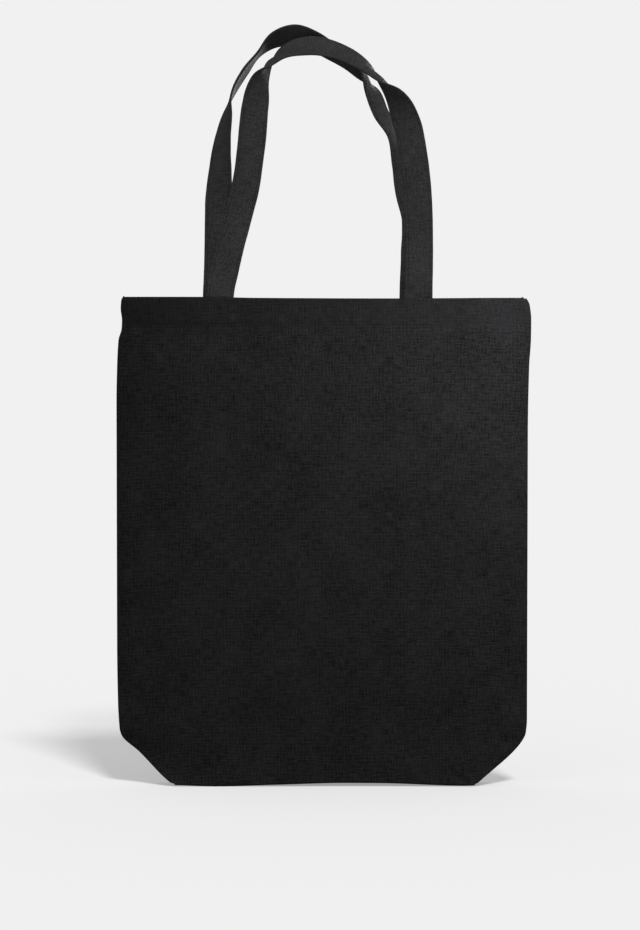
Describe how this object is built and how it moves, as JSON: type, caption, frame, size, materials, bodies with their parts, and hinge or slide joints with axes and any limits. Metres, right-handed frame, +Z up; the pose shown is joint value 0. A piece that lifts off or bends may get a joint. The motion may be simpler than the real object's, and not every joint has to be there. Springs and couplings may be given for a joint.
{
  "type": "canvas tote bag",
  "caption": "Flat canvas tote bag with a boxed, tucked base, a hemmed open mouth and long twisted strap handles that swing down.",
  "frame": {"origin": "centre of the base on the floor, under the middle of the folded bag", "axes": "+Z up from the floor to the handles; +X across the bag's width; +Y from the front wall to the rear wall, so the front faces -Y"},
  "size_m": [0.3794, 0.0552, 0.7019],
  "materials": {
    "canvas": "plain-woven cotton canvas, matte",
    "hem": "turned canvas, matte",
    "strap": "folded and topstitched canvas strap, matte",
    "seam_tape": "overlocked canvas edge, matte",
    "thread": "polyester sewing thread, slight sheen"
  },
  "bodies": {
    "bag_back": {"rear_panel": "canvas", "rear_hem": "hem", "left_side_seam": "seam_tape", "right_side_seam": "seam_tape", "bottom_seam": "seam_tape", "rear_left_corner_seam": "seam_tape", "rear_right_corner_seam": "seam_tape", "rear_handle_left_end": "strap", "rear_handle_right_end": "strap", "rear_left_box_stitch": "thread", "rear_right_box_stitch": "thread", "rear_hem_stitching": "thread"},
    "bag_front": {"front_panel": "canvas", "front_hem": "hem", "front_left_corner_seam": "seam_tape", "front_right_corner_seam": "seam_tape", "front_handle_left_end": "strap", "front_handle_right_end": "strap", "front_left_box_stitch": "thread", "front_right_box_stitch": "thread", "front_hem_stitching": "thread"},
    "front_handle": {"front_handle": "strap"},
    "rear_handle": {"rear_handle": "strap"}
  },
  "joints": [
    {"name": "mouth_open", "type": "hinge", "parent": "bag_back", "child": "bag_front", "pos_m": [0, -0.016, 0], "axis": [1, 0, 0], "range_deg": [0, 5]},
    {"name": "front_handle_swing", "type": "hinge", "parent": "bag_front", "child": "front_handle", "pos_m": [0, -0.02, 0.4515], "axis": [1, 0, 0], "range_deg": [0, 170]},
    {"name": "rear_handle_swing", "type": "hinge", "parent": "bag_back", "child": "rear_handle", "pos_m": [0, 0.02, 0.4515], "axis": [-1, 0, 0], "range_deg": [0, 170]}
  ]
}
